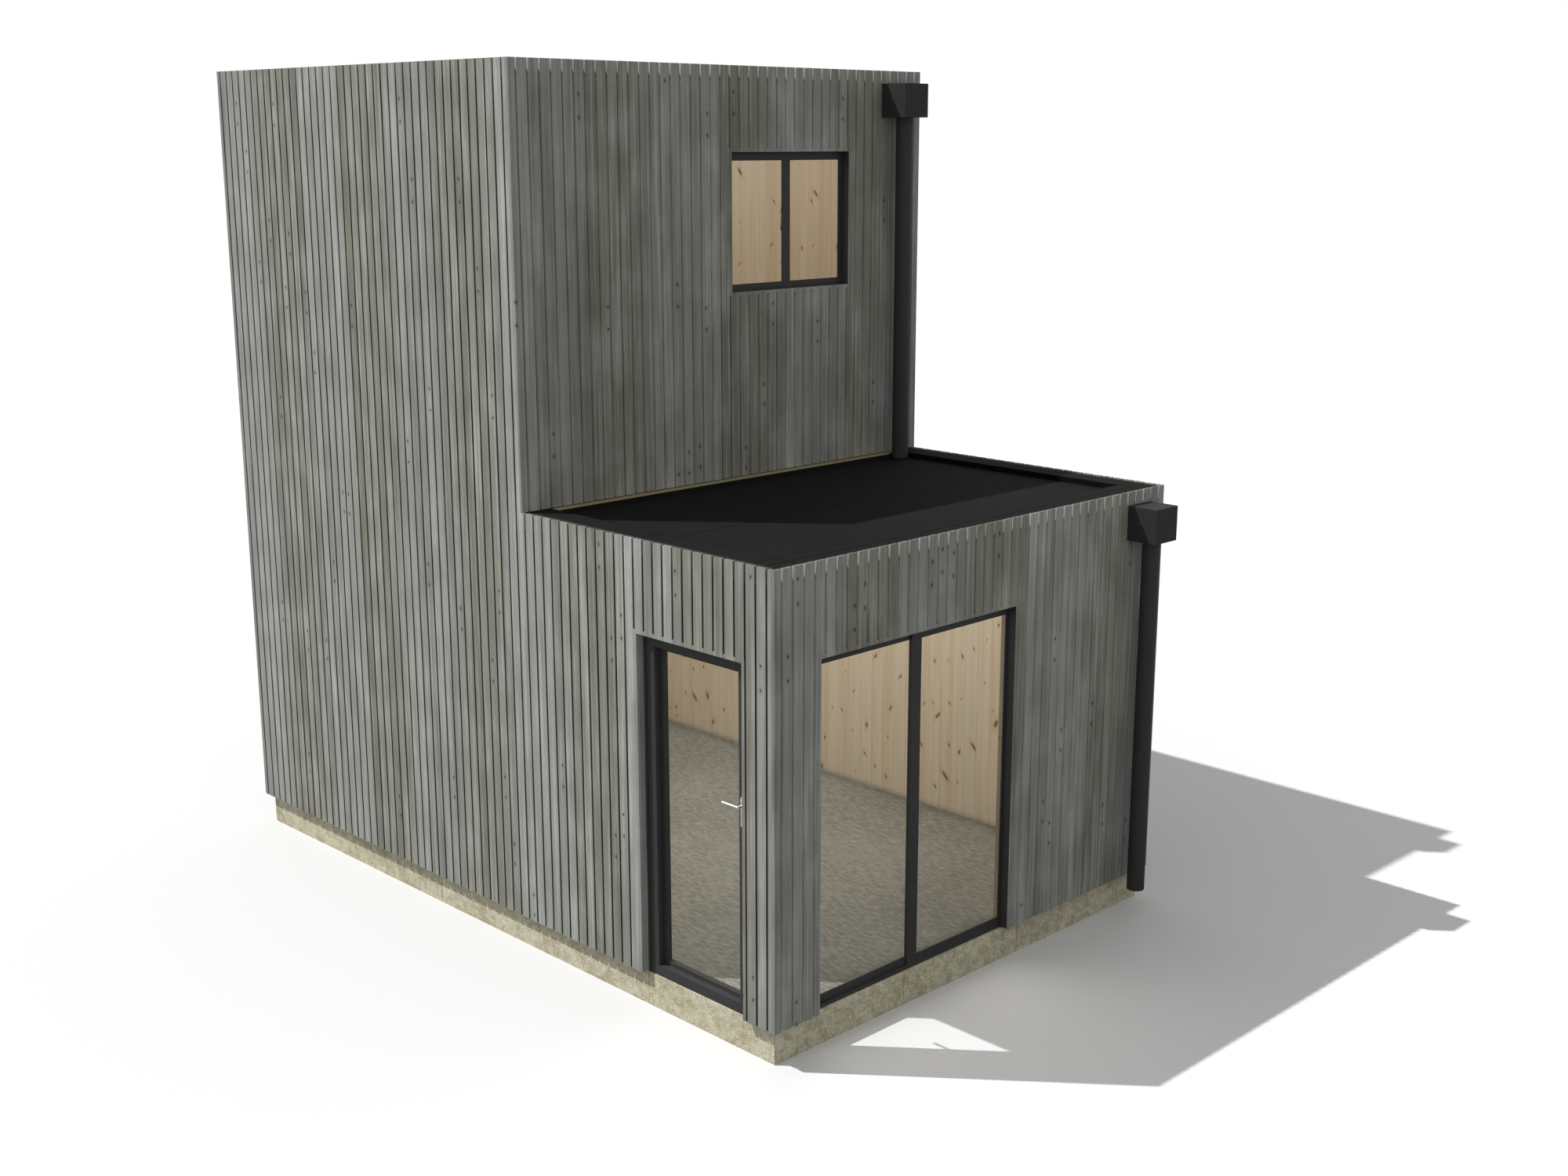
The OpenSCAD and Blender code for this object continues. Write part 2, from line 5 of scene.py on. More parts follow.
import bmesh
import bpy
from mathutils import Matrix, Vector


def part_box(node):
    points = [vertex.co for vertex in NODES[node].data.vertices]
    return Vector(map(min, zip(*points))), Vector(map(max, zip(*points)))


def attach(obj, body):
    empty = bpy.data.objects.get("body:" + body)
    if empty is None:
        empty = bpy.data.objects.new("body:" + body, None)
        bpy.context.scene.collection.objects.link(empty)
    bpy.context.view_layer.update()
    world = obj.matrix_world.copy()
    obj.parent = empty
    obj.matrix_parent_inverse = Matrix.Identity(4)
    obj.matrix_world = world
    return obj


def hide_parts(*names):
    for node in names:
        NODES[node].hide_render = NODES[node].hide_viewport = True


bl_info = {
    "name": "Garden Office Pod",
    "version": (1, 0, 0),
    "blender": (4, 5, 0),
    "location": "3D Viewport > Sidebar > Pod",
    "description": "Dresses a two-storey garden office pod with slats, doors, windows and finishes",
    "category": "Object",
}

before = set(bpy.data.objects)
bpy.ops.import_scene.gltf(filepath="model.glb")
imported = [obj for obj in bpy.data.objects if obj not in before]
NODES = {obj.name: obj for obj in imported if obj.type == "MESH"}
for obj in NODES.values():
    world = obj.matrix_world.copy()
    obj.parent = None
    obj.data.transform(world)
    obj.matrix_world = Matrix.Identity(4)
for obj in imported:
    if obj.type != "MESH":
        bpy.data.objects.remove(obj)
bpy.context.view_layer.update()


def corners(node):
    """The lowest and highest corner of a frame piece."""
    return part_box(node)


# Plan lines and levels that several pieces share, all taken from the frame
FRONT_LOW, FRONT_HIGH = corners("front_cladding")
LEFT_X, RIGHT_X = FRONT_LOW.x, FRONT_HIGH.x
FRONT_Y, BACK_Y = FRONT_LOW.y, corners("back_cladding")[1].y
BLOCK_Y = corners("upper_front_cladding")[0].y
SOLE_Z, UPPER_SOLE_Z = FRONT_LOW.z, corners("upper_front_cladding")[0].z
LOW_TOP_Z, TALL_TOP_Z = FRONT_HIGH.z, corners("back_cladding")[1].z
ZONE = FRONT_HIGH.y - FRONT_LOW.y
SLAT_DEPTH = corners("window_casing")[1].y - FRONT_LOW.y

# Small clearances and thicknesses behind the slats, in metres
CORNER_GAP = 0.0005
SHEET_GAP = 0.0004
SHEET = 0.001
SHEET_DROP = 0.002
SIDE_GAP = 0.001
NARROWEST_SLAT = 0.004
BATTEN_FOOT = 0.03
CLOSEST_BATTENS = 0.25

# Walls whose slats run along X; those of the others run along Y
ALONG_X = ("front", "back")
OUTWARDS = {"front": -1, "left": -1, "right": 1, "back": 1}

# Softened edges of boards, frames and hoppers, in metres
BOARD_EDGE, FRAME_EDGE, HOPPER_EDGE = 0.0015, 0.0012, 0.002
SHARP_ANGLE = math.radians(40)

# The camera's place and the directions of the camera and the key lamp
CAMERA_PLACE = (-8.6270, -9.7152, 5.1933)
CAMERA_LOOKS = (0.68243, 0.69258, -0.23373)
KEY_SHINES = (0.388, -0.451, -0.804)
KEY_WIDTH = math.radians(0.5)
FLOOR_REACH = 60.0


# --- sizes and colours ---


def length(name, description, default):
    """A size in metres."""
    return bpy.props.FloatProperty(name=name, description=description, default=default,
                                   min=0.0, unit="LENGTH", precision=4)


def colour(name, description, default):
    """A colour, as linear red, green and blue."""
    return bpy.props.FloatVectorProperty(name=name, description=description, default=default,
                                         subtype="COLOR", size=3, min=0.0, max=1.0)


def amount(name, description, default, high=1.0):
    """A plain number."""
    return bpy.props.FloatProperty(name=name, description=description, default=default,
                                   min=0.0, max=high)


class PodCladding(bpy.types.PropertyGroup):
    """Sizes and colours of the slats."""

    pitch: length("Slat Pitch", "Distance from one slat to the next", 0.0861)
    gap: length("Slat Gap", "Width of the open joint between two slats", 0.014)
    first_joint: length("First Joint", "From a corner to the middle of the first joint", 0.060)
    edge: length("Slat Edge Radius", "Radius of the slats' long edges", 0.0015)
    batten_pitch: length("Batten Pitch", "Height between two battens", 0.6)
    batten_height: length("Batten Height", "Height of a batten", 0.045)
    slot_depth: length("Open Slot", "Depth of the open slot behind the slats' tops", 0.1)
    grey: colour("Weathered Grey", "Main colour of the slats", (0.335, 0.345, 0.32))
    khaki: colour("Weathered Khaki", "Colour of the warmer slats", (0.283, 0.281, 0.237))
    silver: colour("Silvered Grain", "Colour of the palest streaks", (0.47, 0.48, 0.455))
    knot: colour("Knots", "Colour of the knots", (0.035, 0.035, 0.03))


class PodFinishes(bpy.types.PropertyGroup):
    """Colours of everything that isn't a slat."""

    plinth_light: colour("Plinth, Light", "Palest colour of the plinth", (0.72, 0.69, 0.52))
    plinth_dark: colour("Plinth, Dark", "Darkest colour of the plinth", (0.45, 0.405, 0.27))
    floor_light: colour("Floor, Light", "Pale streaks of the floor", (0.295, 0.29, 0.247))
    floor_dark: colour("Floor, Dark", "Dark streaks of the floor", (0.165, 0.16, 0.132))
    pine: colour("Pine", "Main colour of the pine panels", (0.585, 0.475, 0.325))
    pine_pale: colour("Pine, Pale", "Colour of the palest pine boards", (0.61, 0.53, 0.405))
    pine_knot: colour("Pine Knots", "Colour of the knots in the pine", (0.16, 0.07, 0.03))
    membrane: colour("Membrane", "Colour of the roof membrane", (0.0088, 0.0088, 0.0088))
    kerb: colour("Kerb", "Colour of the kerb board", (0.33, 0.285, 0.15))
    black: colour("Black Coat", "Colour of the door and window frames", (0.043, 0.043, 0.044))
    gutter: colour("Rainwater Black", "Colour of hoppers and downpipes", (0.038, 0.038, 0.038))
    steel: colour("Steel", "Colour of the handles and hinges", (0.9, 0.89, 0.87))
    glass: colour("Glass", "Tint of the glass", (0.2, 0.235, 0.225))
    glass_haze: amount("Glass Haze", "How much the glass hides what is behind it", 0.05)


class PodStage(bpy.types.PropertyGroup):
    """The lamps and the camera."""

    sun_strength: amount("Key Lamp", "Strength of the key lamp", 3.35, 20.0)
    sky_strength: amount("Sky Fill", "Strength of the plain fill light", 0.54, 5.0)
    room_lamp: amount("Room Lamps", "Watts of soft light for 10 square metres", 60.0, 1000.0)
    lens: bpy.props.FloatProperty(name="Lens", description="Focal length of the camera",
                                  default=42.776, min=10.0, subtype="DISTANCE_CAMERA")


# --- nodes ---


class Nodes:
    """A node tree, and the one way in which its nodes are made."""

    def __init__(self, tree):
        self.tree = tree

    def node(self, kind, settings=None, **sockets):
        """A node of one kind: its settings come first, then the values or links of its sockets.

        A socket goes by its name, or by i and its number where names repeat.
        """
        made = self.tree.nodes.new(kind)
        for name, value in (settings or {}).items():
            setattr(made, name, value)
        for name, value in sockets.items():
            numbered = name[0] == "i" and name[1:].isdigit()
            key = int(name[1:]) if numbered else name.replace("_", " ")
            self.feed(made.inputs[key], value)
        return made

    def feed(self, socket, value):
        """Links a value to a socket, or sets it there."""
        if isinstance(value, Value):
            value = value.socket
        if isinstance(value, bpy.types.NodeSocket):
            self.tree.links.new(value, socket)
        elif hasattr(value, "__len__") and len(value) == 3 and len(socket.default_value) == 4:
            socket.default_value = (*value, 1.0)
        else:
            socket.default_value = value

    def maths(self, operation, *terms):
        """The Math node for one operation on values and numbers."""
        sockets = {f"i{number}": term for number, term in enumerate(terms)}
        made = self.node("ShaderNodeMath", {"operation": operation}, **sockets)
        return Value(self, made.outputs["Value"])

    def point(self, x, y, z):
        """A vector from three values or numbers."""
        return self.node("ShaderNodeCombineXYZ", X=x, Y=y, Z=z).outputs["Vector"]


class Value:
    """A socket that takes part in sums."""

    def __init__(self, nodes, socket):
        self.nodes = nodes
        self.socket = socket

    def __add__(self, other):
        return self.nodes.maths("ADD", self, other)

    __radd__ = __add__

    def __sub__(self, other):
        return self.nodes.maths("SUBTRACT", self, other)

    def __rsub__(self, other):
        return self.nodes.maths("SUBTRACT", other, self)

    def __mul__(self, other):
        return self.nodes.maths("MULTIPLY", self, other)

    __rmul__ = __mul__

    def __truediv__(self, other):
        return self.nodes.maths("DIVIDE", self, other)

    def __rtruediv__(self, other):
        return self.nodes.maths("DIVIDE", other, self)

    def __pow__(self, other):
        return self.nodes.maths("POWER", self, other)

    def __lt__(self, other):
        return self.nodes.maths("LESS_THAN", self, other)

    def __gt__(self, other):
        return self.nodes.maths("GREATER_THAN", self, other)

    def __abs__(self):
        return self.nodes.maths("ABSOLUTE", self)

    def floor(self):
        return self.nodes.maths("FLOOR", self)

    def ceiling(self):
        return self.nodes.maths("CEIL", self)

    def fraction(self):
        return self.nodes.maths("FRACT", self)

    def smaller(self, other):
        return self.nodes.maths("MINIMUM", self, other)

    def larger(self, other):
        return self.nodes.maths("MAXIMUM", self, other)


class Shade(Nodes):
    """The nodes of a new material or world."""

    def __init__(self, name, store="materials", output="ShaderNodeOutputMaterial"):
        self.owner = getattr(bpy.data, store).new(name)
        self.owner.use_nodes = True
        super().__init__(self.owner.node_tree)
        self.tree.nodes.clear()
        self.output = self.node(output)

    def parts(self, vector):
        """The three values of a vector."""
        split = self.node("ShaderNodeSeparateXYZ", Vector=vector)
        return [Value(self, split.outputs[axis]) for axis in "XYZ"]

    def place(self):
        """The position on the piece, as three values in metres."""
        return self.parts(self.node("ShaderNodeTexCoord").outputs["Object"])

    def along_wall(self, axis):
        """The position on a wall that runs along X or Y: along it, through it and up it."""
        x, y, z = self.place()
        return (x, y, z) if axis == "X" else (y, x, z)

    def facing(self):
        """The surface's own direction, as three values."""
        return self.parts(self.node("ShaderNodeNewGeometry").outputs["True Normal"])

    def noise(self, x, y, z, detail=2.0, roughness=0.5):
        """Soft noise from 0 to 1, at a position stretched by given factors."""
        made = self.node("ShaderNodeTexNoise", {"noise_dimensions": "3D"}, Scale=1.0,
                         Vector=self.point(x, y, z), Detail=detail, Roughness=roughness)
        return Value(self, made.outputs[0])

    def chance(self, x, y, z):
        """A random number for each whole position."""
        made = self.node("ShaderNodeTexWhiteNoise", {"noise_dimensions": "3D"},
                         Vector=self.point(x, y, z))
        return Value(self, made.outputs["Value"])

    def mix(self, share, low, high):
        """From one colour to another by a share."""
        made = self.node("ShaderNodeMix", {"data_type": "RGBA", "clamp_factor": True},
                         Factor=share, A=low, B=high)
        return next(s for s in made.outputs if s.identifier == "Result_Color")

    def lighten(self, tint, share):
        """A colour made lighter or darker by a value round 1."""
        made = self.node("ShaderNodeVectorMath", {"operation": "SCALE"}, Vector=tint, Scale=share)
        return made.outputs["Vector"]

    def step(self, value, low, high):
        """0 below low, 1 above high, and a smooth rise between."""
        made = self.node("ShaderNodeMapRange", {"interpolation_type": "SMOOTHSTEP"}, Value=value,
                         From_Min=low, From_Max=high)
        return Value(self, made.outputs["Result"])

    def show(self, shader):
        """Ends the nodes in one shader, and gives the material or world that shows it."""
        self.feed(self.output.inputs["Surface"], shader.outputs[0])
        return self.owner

    def surface(self, bump=None, height=0.001, **sockets):
        """The finish itself. Bump is in heights of a given number of metres."""
        if bump is not None:
            sockets["Normal"] = self.node("ShaderNodeBump", Strength=1.0, Distance=height,
                                          Height=bump).outputs["Normal"]
        return self.show(self.node("ShaderNodeBsdfPrincipled", **sockets))


# --- finishes ---


def weathered_slats(name, along, corner, khaki_start, base, painted_joint_light, spread):
    """Silver-grey weathered timber on the slats of walls that run along one axis.

    The first khaki band is khaki_start from the corner. base is the slats' brightness, set lower
    for walls along X than along Y as painted shade, and spread how much it differs from slat to
    slat. The joint tone scales the faces in a joint, as painted light and shade.
    """
    band_pitch, knot_pitch, crown_height = 1.12, 1.25, 0.05
    joint_side = 0.032
    knot_width, knot_height, pair_reach = 0.0065, 0.009, 0.07
    sizes = bpy.context.scene.pod_cladding
    s = Shade(name)
    u, v, z = s.along_wall(along)
    run = (u - (corner + sizes.first_joint)) / sizes.pitch
    slat = run.floor()
    across = (run.fraction() - 0.5) * sizes.pitch
    seed = s.chance(slat, v.floor(), 3.0)
    other = s.chance(slat, v.floor(), 11.0)
    grain = s.noise(u * 420.0, v * 420.0, z * 5.0 + seed * 40.0, detail=3.0, roughness=0.65)
    streak = s.noise(u * 95.0, v * 95.0, z * 1.3 + seed * 20.0)
    cup = s.noise(u * 34.0, v * 34.0, z * 0.7 + other * 30.0, detail=1.0)
    cloud = s.noise(u * 5.0, v * 5.0, z * 2.6, detail=3.0)
    # Khaki slats come in bands, about half a metre wide
    drift = s.noise(u * 3.0, v * 3.0 + 7.0, z * 0.6, detail=3.0)
    band = abs(((u - (corner + khaki_start)) / band_pitch).fraction() - 0.5) * 2.0
    warm = 1.0 - s.step(band + (seed - 0.5) * 0.12 + (drift - 0.5) * 0.9, 0.3, 0.62)
    pale = s.step(streak + (cloud - 0.5) * 0.5 + (other - 0.5) * 0.2, 0.46, 0.74)
    # Slats are darker towards their long edges. Faces in a joint carry painted light and shade
    # from the joint tone, less so near the open tops
    edge_darkening = s.step(abs(across), 0.024, 0.038)
    faces = s.facing()
    in_gap = (abs(faces["XY".index(along)]) > 0.5) * (abs(across) > joint_side)
    below_low_top = abs(z - (LOW_TOP_Z - crown_height))
    crown = below_low_top.smaller(abs(z - (TALL_TOP_Z - crown_height))) < crown_height
    # Small knots in pairs on one slat in a few, a hand's breadth apart
    height = (z + other * 1.7) / knot_pitch
    level = height.floor()
    up = (height.fraction() - 0.5) * knot_pitch
    shown = s.chance(slat, level, 5.0) < 0.22
    side = (s.chance(slat, level, 9.0) - 0.5) * 0.03
    reach = ((across - side) / knot_width) ** 2.0 + ((abs(up) - pair_reach) / knot_height) ** 2.0
    knot = (1.0 - s.step(reach, 0.35, 1.5)) * shown
    halo = (1.0 - s.step(reach, 0.8, 12.0)) * shown
    tint = s.mix(warm, sizes.grey, sizes.khaki)
    tint = s.mix(pale * 0.5, tint, sizes.silver)
    tone = base + (seed - 0.5) * spread + (cloud - 0.5) * 0.5 + (grain - 0.5) * 0.32
    tone = tone + (streak - 0.5) * 0.38
    # Up-facing tops are darker: partly end grain, partly painted shade on tops that catch the light
    tone = tone + (cup - 0.5) * 0.5 - edge_darkening * 0.06 - s.step(faces[2], 0.4, 0.6) * 0.35
    # Painted light and shade: faces in a joint are scaled by the joint tone
    painted_joint_factor = 1.0 + in_gap * (painted_joint_light - 1.0) * (1.0 - crown * 0.45)
    tint = s.lighten(tint, (tone - halo * 0.16) * painted_joint_factor)
    tint = s.mix(knot * 0.9, tint, sizes.knot)
    return s.surface(Base_Color=tint, Roughness=0.82 + (grain - 0.5) * 0.2,
                     Specular_IOR_Level=0.2, bump=grain + streak * 1.5 - knot * 0.8, height=0.0012)


def breather_membrane():
    """Near-black breather membrane and battens behind the slats."""
    s = Shade("breather_membrane")
    x, y, z = s.place()
    weave = s.noise(x * 300.0, y * 300.0, z * 300.0)
    tint = s.mix(weave, (0.07, 0.07, 0.062), (0.105, 0.105, 0.094))
    return s.surface(Base_Color=tint, Roughness=0.8, Specular_IOR_Level=0.1,
                     bump=weave, height=0.0004)


def stone_plinth():
    """Mottled beige stone facing with fine joints between its slabs."""
    slab, first_slab = 1.11, 0.05
    edge_share = 0.4975  # where a joint begins, as a share of a slab from its middle
    f = bpy.context.scene.pod_finishes
    s = Shade("stone_plinth")
    x, y, z = s.place()
    blotch = s.noise(x * 15.0, y * 15.0, z * 19.0, detail=6.0, roughness=0.78)
    grit = s.noise(x * 120.0, y * 120.0, z * 120.0, detail=3.0, roughness=0.7)
    cloud = s.noise(x * 2.2, y * 2.2, z * 3.0 + 4.0)
    rust = s.noise(x * 7.0 + 9.0, y * 7.0, z * 9.0, detail=4.0, roughness=0.6)
    faces = s.facing()
    seams = []
    for run, start, side in ((y, FRONT_Y, faces[0]), (x, LEFT_X, faces[1])):
        share = ((run - start - first_slab) / slab).fraction()
        seams.append((abs(share - 0.5) > edge_share) * (abs(side) > 0.5))
    seam = seams[0].larger(seams[1])
    share = s.step(blotch + (cloud - 0.5) * 0.3 + (grit - 0.5) * 0.6, 0.32, 0.66)
    tint = s.mix(share, f.plinth_dark, f.plinth_light)
    tint = s.mix(s.step(rust, 0.56, 0.72) * 0.45, tint, (0.4, 0.3, 0.21))
    tint = s.lighten(tint, 1.0 + (grit - 0.5) * 0.7 - seam * 0.45)
    return s.surface(Base_Color=tint, Roughness=0.9, Specular_IOR_Level=0.25,
                     bump=blotch * 1.5 + grit - seam * 1.5, height=0.002)


def streaked_floor():
    """Matt grey-beige floor with short streaks that run to the back, and painted shade that darkens
    it by the walls.
    """
    shade_margin = 0.16
    f = bpy.context.scene.pod_finishes
    s = Shade("streaked_floor")
    x, y, z = s.place()
    wander = s.noise(x * 3.0, y * 3.0, z, detail=1.0)
    streak = s.noise((x + wander * 0.06) * 58.0, y * 15.0, z, detail=4.0, roughness=0.65)
    cloud = s.noise(x * 1.6, y * 1.2, z + 5.0)
    grit = s.noise(x * 210.0, y * 90.0, z)
    share = s.step(streak + (cloud - 0.5) * 0.3, 0.3, 0.7)
    # Painted shade: the floor is darker near the walls
    edge = (x - corners("left_wall")[1].x).smaller(corners("right_wall")[0].x - x)
    edge = edge.smaller(y - corners("front_wall")[1].y).smaller(corners("back_wall")[0].y - y)
    tint = s.mix(share, f.floor_dark, f.floor_light)
    tint = s.mix(s.step(cloud, 0.5, 0.75) * 0.3, tint, (0.225, 0.24, 0.185))
    tint = s.lighten(tint, 0.72 + s.step(edge, 0.0, shade_margin) * 0.3 + (grit - 0.5) * 0.16)
    return s.surface(Base_Color=tint, Roughness=0.85, Specular_IOR_Level=0.2,
                     bump=streak + grit * 0.3, height=0.0012)


def pine_panel(name, along):
    """Planed pine boards, upright, on walls that run along one axis."""
    board_width, foot_shade_height = 0.118, 0.05
    knot_width, knot_height = 0.009, 0.018
    f = bpy.context.scene.pod_finishes
    s = Shade(name)
    u, v, z = s.along_wall(along)
    run = u / board_width
    board = run.floor()
    across = (run.fraction() - 0.5) * board_width
    seed = s.chance(board, 2.0, 7.0)
    other = s.chance(board, 5.0, 1.0)
    grain = s.noise(u * 120.0 + seed * 9.0, v * 30.0, z * 2.2, detail=3.0, roughness=0.6)
    figure = s.noise(u * 26.0 + seed * 50.0, v * 8.0, z * 1.1 + other * 9.0)
    # Small knots on most boards, and large slanting ones here and there
    knot, halo = 0.0, 0.0
    for cell, share, size, spread in ((0.33, 0.5, 0.45, 0.5), (1.15, 0.6, 1.0, 0.9)):
        height = (z + other * 1.3) / cell
        level = height.floor()
        up = (height.fraction() - 0.5) * cell
        drift = (s.chance(board, level, 3.0 + cell) - 0.5) * 0.07
        shown = s.chance(board, level, 8.0 + cell) < share
        grown = size + s.chance(board, level, 6.0 + cell) * spread
        slant = up * (s.chance(board, level, 4.0 + cell) - 0.5) * 1.6
        reach = ((across - drift - slant) / (grown * knot_width)) ** 2.0
        reach = (reach + (up / (grown * knot_height)) ** 2.0) * (0.6 + figure * 0.8)
        knot = ((1.0 - s.step(reach, 0.4, 1.6)) * shown).larger(knot)
        halo = (1.0 - s.step(reach, 0.6, 11.0)) * shown + halo
    share = s.step(seed * 0.35 + figure, 0.42, 0.86)
    tint = s.mix(share, f.pine, f.pine_pale)
    joint = 1.0 - s.step(abs(abs(across) - board_width / 2), 0.0004, 0.0014)
    # Painted shade: cut edges are darker, and so is the foot of the wall
    cut = abs(s.facing()["XY".index(along)]) > 0.5
    foot = 1.0 - s.step(z - corners("floor_slab")[1].z, 0.0, foot_shade_height)
    tone = 1.0 + (grain - 0.5) * 0.2 + (figure - 0.5) * 0.14 - joint * 0.1 - foot * 0.28
    tint = s.lighten(tint, tone * (1.0 - cut * 0.4))
    tint = s.mix(halo * 0.3, tint, (0.5, 0.28, 0.13))
    tint = s.mix(knot * 0.85, tint, f.pine_knot)
    return s.surface(Base_Color=tint, Roughness=0.55 + (grain - 0.5) * 0.15,
                     Specular_IOR_Level=0.3, bump=grain * 0.6 - joint * 2.0, height=0.0006)


def roof_membrane():
    """Matt black roofing membrane with welded laps, and painted shade along the rims' inner edges.
    """
    roll, first_lap = 1.05, 1.16
    f = bpy.context.scene.pod_finishes
    s = Shade("roof_membrane")
    x, y, z = s.place()
    grit = s.noise(x * 240.0, y * 240.0, z * 240.0)
    ripple = s.noise(x * 2.0, y * 2.0, z * 2.0, detail=3.0)
    lap_and_rim_distance = abs(((y - FRONT_Y - first_lap) / roll + 0.5).fraction() - 0.5) * roll
    # Painted shade: dark lines also run along the rims' inner edges
    rim = corners("roof_kerb")[0].x - LEFT_X
    for side in (x - (LEFT_X + rim), x - (RIGHT_X - rim), y - (FRONT_Y + rim)):
        lap_and_rim_distance = lap_and_rim_distance.smaller(abs(side))
    weld_and_rim_shade = 1.0 - s.step(lap_and_rim_distance, 0.005, 0.013)
    tone = 1.0 + (ripple - 0.5) * 0.35 + (grit - 0.5) * 0.3 - weld_and_rim_shade * 0.65
    return s.surface(Base_Color=s.lighten(f.membrane, tone), Roughness=0.88,
                     Specular_IOR_Level=0.12, bump=grit * 0.5 + ripple * 2.0 - weld_and_rim_shade * 1.5,
                     height=0.0012)


def kerb_board():
    """Khaki board on top; its front and ends take the membrane's near-black, as painted shade."""
    f = bpy.context.scene.pod_finishes
    s = Shade("kerb_board")
    x, y, z = s.place()
    grain = s.noise(x * 6.0, y * 160.0, z * 160.0, detail=3.0)
    # Painted shade: only the top shows the khaki board
    up = s.facing()[2] > 0.5
    tint = s.mix(up, f.membrane, s.lighten(f.kerb, 0.8 + grain * 0.4))
    return s.surface(Base_Color=tint, Roughness=0.85, Specular_IOR_Level=0.15,
                     bump=grain, height=0.0006)


def coated(name, tint, roughness, pebble):
    """Satin powder coat with faint dust and a fine orange peel, finer with more pebble."""
    s = Shade(name)
    x, y, z = s.place()
    peel = s.noise(x * pebble, y * pebble, z * pebble)
    dust = s.noise(x * 3.0, y * 3.0, z * 1.2, detail=4.0)
    shade = s.lighten(tint, 1.0 + (dust - 0.5) * 0.3 + (peel - 0.5) * 0.08)
    return s.surface(Base_Color=shade, Roughness=roughness + (dust - 0.5) * 0.16,
                     Specular_IOR_Level=0.3, bump=peel, height=0.00025)


def satin_steel():
    """Brushed stainless steel."""
    f = bpy.context.scene.pod_finishes
    s = Shade("satin_steel")
    x, y, z = s.place()
    brush = s.noise(x * 900.0, y * 60.0, z * 900.0)
    smear = s.noise(x * 30.0, y * 30.0, z * 30.0)
    return s.surface(Base_Color=s.lighten(f.steel, 0.94 + brush * 0.1), Metallic=1.0,
                     Roughness=0.28 + brush * 0.16 + (smear - 0.5) * 0.1,
                     bump=brush, height=0.00006)


def clear_glass():
    """Clear glass with a faint tint."""
    f = bpy.context.scene.pod_finishes
    s = Shade("clear_glass")
    x, y, z = s.place()
    film = s.noise(x * 4.0, y * 4.0, z * 2.0, detail=3.0)
    return s.surface(Base_Color=f.glass, Alpha=f.glass_haze, Roughness=0.04 + film * 0.05,
                     Specular_IOR_Level=0.5)


# --- pieces ---


def dress(node, finish):
    """Gives a frame piece its finish."""
    mesh = NODES[node].data
    mesh.materials.clear()
    mesh.materials.append(finish)


def put(name, data):
    """A new object in the scene."""
    thing = bpy.data.objects.new(name, data)
    bpy.context.scene.collection.objects.link(thing)
    return thing


def mesh_of(bm, name, *finishes):
    """The mesh of everything that has been made in bm, with its finishes."""
    mesh = bpy.data.meshes.new(name)
    bm.to_mesh(mesh)
    bm.free()
    for finish in finishes:
        mesh.materials.append(finish)
    return mesh


def as_piece(name, mesh, body, stands_for):
    """Puts a finished mesh in the scene, on a body of the frame."""
    piece = put(name, mesh)
    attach(piece, body)
    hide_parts(*stands_for)
    return piece


def bevelled(name, node, finish, width, body="root"):
    """A copy of a frame piece with its edges softened, shown in its place."""
    bm = bmesh.new()
    bm.from_mesh(NODES[node].data)
    bmesh.ops.remove_doubles(bm, verts=bm.verts, dist=1e-5)
    bmesh.ops.dissolve_limit(bm, angle_limit=0.01, verts=bm.verts, edges=bm.edges)
    sharp = [edge for edge in bm.edges if len(edge.link_faces) == 2
             and edge.calc_face_angle(0.0) > SHARP_ANGLE]
    bmesh.ops.bevel(bm, geom=sharp, offset=width, segments=2, profile=0.7, affect="EDGES",
                    clamp_overlap=True)
    return as_piece(name, mesh_of(bm, name, finish), body, [node])


def lined(casing, finish):
    """Coats the faces of a window's casing boards that look into its opening."""
    casing.data.materials.append(finish)
    middle = sum((Vector(corner) for corner in casing.bound_box), Vector()) / 8
    for face in casing.data.polygons:
        if abs(face.normal.y) < 0.5 and face.normal.dot(middle - face.center) > 0:
            face.material_index = 1


